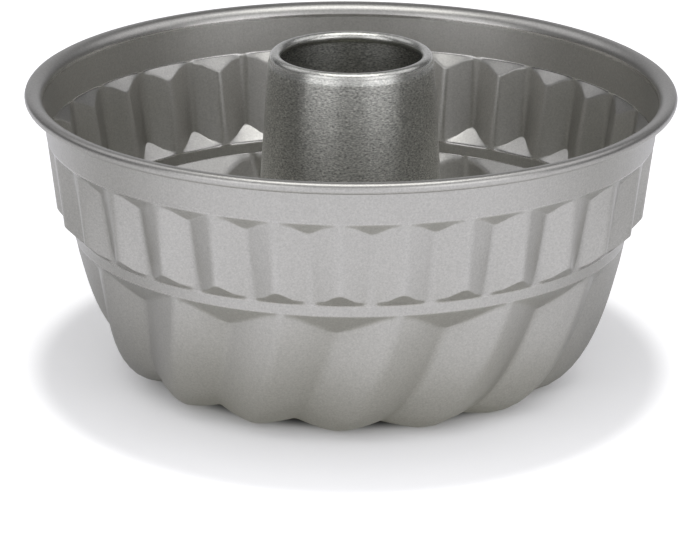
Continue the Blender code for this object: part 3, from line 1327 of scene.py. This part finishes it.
@dataclass(frozen=True)
class Softbox:
    """A soft oblong lamp that looks at the mould."""

    name: str
    place: tuple[float, float, float]
    size: tuple[float, float]
    radiance: float
    colour: Colour = WHITE
    aim: tuple[float, float, float] = (0.0, 0.0, 0.05)

    def build(self, turn: float) -> bpy.types.Object:
        """Make the lamp.

        Args:
            turn: How far the studio is turned round the axis, with the camera.

        Returns:
            The lamp.
        """
        spin = Matrix.Rotation(math.radians(turn), 3, "Z")
        place = spin @ Vector(self.place)
        bpy.ops.object.light_add(type="AREA", location=place)
        lamp = bpy.context.object
        lamp.name = self.name
        lamp.data.shape = "RECTANGLE"
        lamp.data.size, lamp.data.size_y = self.size
        lamp.data.energy = self.radiance * math.pi * self.size[0] * self.size[1]
        lamp.data.color = self.colour
        lamp.rotation_euler = (spin @ Vector(self.aim) - place).to_track_quat("-Z", "Y").to_euler()
        LOG.info("%s: %.1f W", self.name, lamp.data.energy)
        return lamp


@dataclass
class Studio:
    """The pale floor, the softbox over it and the white cards round it."""

    turn: float
    floor_size: float = 12.0
    floor_roughness: float = 0.9
    floor_colour: Colour = (0.795, 0.795, 0.798)
    # Glow colours that only the metal mirrors, a painted reflection: warm near the mould, cool further
    # out.
    mirrored_near_glow_colour: Colour = (1.000, 0.980, 0.760)
    mirrored_far_glow_colour: Colour = (0.950, 0.955, 1.180)
    # Painted shadow: the camera sees the floor's glow only beyond these rings, so the floor is drawn
    # darker round the mould.
    painted_near_shadow: FloorShade = FloorShade(start=0.060, end=0.092, stretch=1.00, strength=0.31)
    painted_far_shadow: FloorShade = FloorShade(start=0.131, end=0.148, stretch=0.84, strength=0.34)
    # Painted reflection: the floor glows for glossy rays only, though it is no lamp, so that the metal
    # mirrors a brighter floor.
    front_glow: SoftCard = SoftCard(azimuth=5.0, elevation=0.0, full=35.0, gone=94.0, strength=1.0)
    back_glow: SoftCard = SoftCard(azimuth=180.0, elevation=0.0, full=40.0, gone=100.0, strength=0.8)
    near_glow: float = 0.106
    far_glow: FloorShade = FloorShade(start=0.093, end=0.185, stretch=1.0, strength=0.312)
    # Painted contact shadow: the floor's own colour is darkened to this tone where the mould meets it.
    painted_contact_shadow: FloorShade = FloorShade(start=0.064, end=0.073, stretch=1.0, strength=1.0)
    painted_contact_tone: float = 0.12
    sky_seen: float = 0.985
    sky_colour: Colour = (0.990, 0.988, 1.040)
    fill: float = 0.12
    cards: tuple[SoftCard, ...] = (
        SoftCard(azimuth=0.0, elevation=44.0, full=16.0, gone=57.0, strength=0.12),
        SoftCard(azimuth=0.0, elevation=12.0, full=8.0, gone=34.0, strength=0.62),
        SoftCard(azimuth=-42.0, elevation=12.0, full=10.0, gone=30.0, strength=1.48),
        SoftCard(azimuth=42.0, elevation=12.0, full=10.0, gone=30.0, strength=1.60),
        SoftCard(azimuth=180.0, elevation=5.0, full=15.0, gone=42.0, strength=0.42),
        SoftCard(azimuth=-113.0, elevation=49.0, full=11.0, gone=30.0, strength=0.72),
        SoftCard(azimuth=98.0, elevation=48.0, full=14.0, gone=30.0, strength=0.84),
    )
    softbox: Softbox = Softbox(
        name="top_softbox",
        place=(0.0, -0.28, 1.55),
        size=(1.35, 0.90),
        radiance=2.5,
        colour=(0.992, 0.992, 1.0),
    )

    @staticmethod
    def seen(nodes: Nodes, ray: Seen) -> Socket:
        """Return 1 for the rays of one kind, and 0 for all others."""
        return nodes.add("ShaderNodeLightPath").outputs[ray.value]

    def floor_glow(self, nodes: Nodes, place: Socket) -> Socket:
        """Return the floor's own glow, though it is no lamp: one part that the camera sees, kept off near
        the mould as a painted shadow, and one that the metal mirrors as a painted reflection.

        Args:
            nodes: The floor material's nodes.
            place: The place on the floor.

        Returns:
            The light's colour.
        """
        shades = (self.painted_near_shadow, self.painted_far_shadow, self.front_glow, self.back_glow, self.far_glow)
        near, far, front, back, far_off = (shade.shine(nodes, place, self.turn) for shade in shades)
        # Painted shadow on top of the real one: the camera's glow rises only away from the mould.
        to_camera = nodes.maths("MULTIPLY", nodes.maths("ADD", near, far), self.seen(nodes, Seen.CAMERA))
        # The glow that only the metal mirrors is a painted reflection, warm near the mould and cool
        # further out.
        mirrored = nodes.maths("MULTIPLY", nodes.maths("ADD", front, back), self.seen(nodes, Seen.GLOSS))
        near_glow = nodes.maths("MULTIPLY", mirrored, self.near_glow)
        far_glow = nodes.maths("MULTIPLY", mirrored, far_off)
        glow = nodes.tinted(to_camera, WHITE)
        glow = nodes.together(glow, nodes.tinted(near_glow, self.mirrored_near_glow_colour))
        return nodes.together(glow, nodes.tinted(far_glow, self.mirrored_far_glow_colour))

    def floor_material(self) -> bpy.types.Material:
        """Build the floor's material, which is open to a view from below and darkens its own colour round
        the mould's foot as a painted contact shadow.

        Returns:
            The material.
        """
        material = bpy.data.materials.new("Pale floor")
        material.use_nodes = True
        nodes = Nodes(material.node_tree)
        place = nodes.add("ShaderNodeTexCoord").outputs["Object"]
        # Painted shadow: the floor's colour is darkened under and right round the mould's foot.
        painted_contact_mask = self.painted_contact_shadow.shine(nodes, place, self.turn)
        looks = {
            "Base Color": nodes.tinted(nodes.between(painted_contact_mask, self.painted_contact_tone, 1.0), self.floor_colour),
            "Roughness": self.floor_roughness,
            "Specular IOR Level": 0.0,
            "Emission Color": self.floor_glow(nodes, place),
            "Emission Strength": 1.0,
        }
        shader = material.node_tree.nodes["Principled BSDF"]
        nodes.feed(shader, looks)
        sides = {
            "Fac": nodes.add("ShaderNodeNewGeometry").outputs["Backfacing"],
            1: shader.outputs["BSDF"],
            2: nodes.add("ShaderNodeBsdfTransparent").outputs["BSDF"],
        }
        open_side = nodes.add("ShaderNodeMixShader", sides).outputs["Shader"]
        nodes.feed(material.node_tree.nodes["Material Output"], {"Surface": open_side})
        return material

    def build_floor(self) -> bpy.types.Object:
        """Make the floor, which keeps the mould's real shadow and adds painted shadow round it.

        Returns:
            The floor.
        """
        deselect_everything()
        bpy.ops.mesh.primitive_plane_add(size=self.floor_size)
        floor = bpy.context.object
        floor.name = "pale_floor"
        floor.data.materials.append(self.floor_material())
        return floor

    def build_sky(self) -> None:
        """Make the surroundings: plain white for the camera, soft cards for the light and the metal."""
        world = bpy.data.worlds.new("White studio")
        bpy.context.scene.world = world
        world.use_nodes = True
        nodes = Nodes(world.node_tree)
        to_camera = self.seen(nodes, Seen.CAMERA)
        to_others = nodes.maths("SUBTRACT", 1.0, to_camera)
        colour = nodes.together(nodes.tinted(to_camera, WHITE), nodes.tinted(to_others, self.sky_colour))
        direction = nodes.add("ShaderNodeTexCoord").outputs["Generated"]
        total: Socket | float = self.fill
        for card in self.cards:
            total = nodes.maths("ADD", card.shine(nodes, direction, self.turn), total)
        levels = {"Factor": to_camera, "A": total, "B": self.sky_seen}
        strength = nodes.add("ShaderNodeMix", levels, data_type="FLOAT").outputs["Result"]
        nodes.feed(world.node_tree.nodes["Background"], {"Color": colour, "Strength": strength})

    def build(self) -> None:
        """Make the floor, the surroundings and the softbox."""
        self.build_floor()
        self.build_sky()
        self.softbox.build(self.turn)
        bpy.context.scene.view_settings.view_transform = "Standard"


def main() -> None:
    """Build the camera, the mould and the studio in order."""
    logging.basicConfig(level=logging.INFO, format="%(name)s: %(message)s")
    tube = CentreTube()
    shell = PressedShell(tube)
    camera = PhotoCamera(shell.rim_height)
    for part in (camera, shell, tube, RimWire(shell), Studio(turn=camera.turn)):
        part.build()


if __name__ == "__main__":
    main()
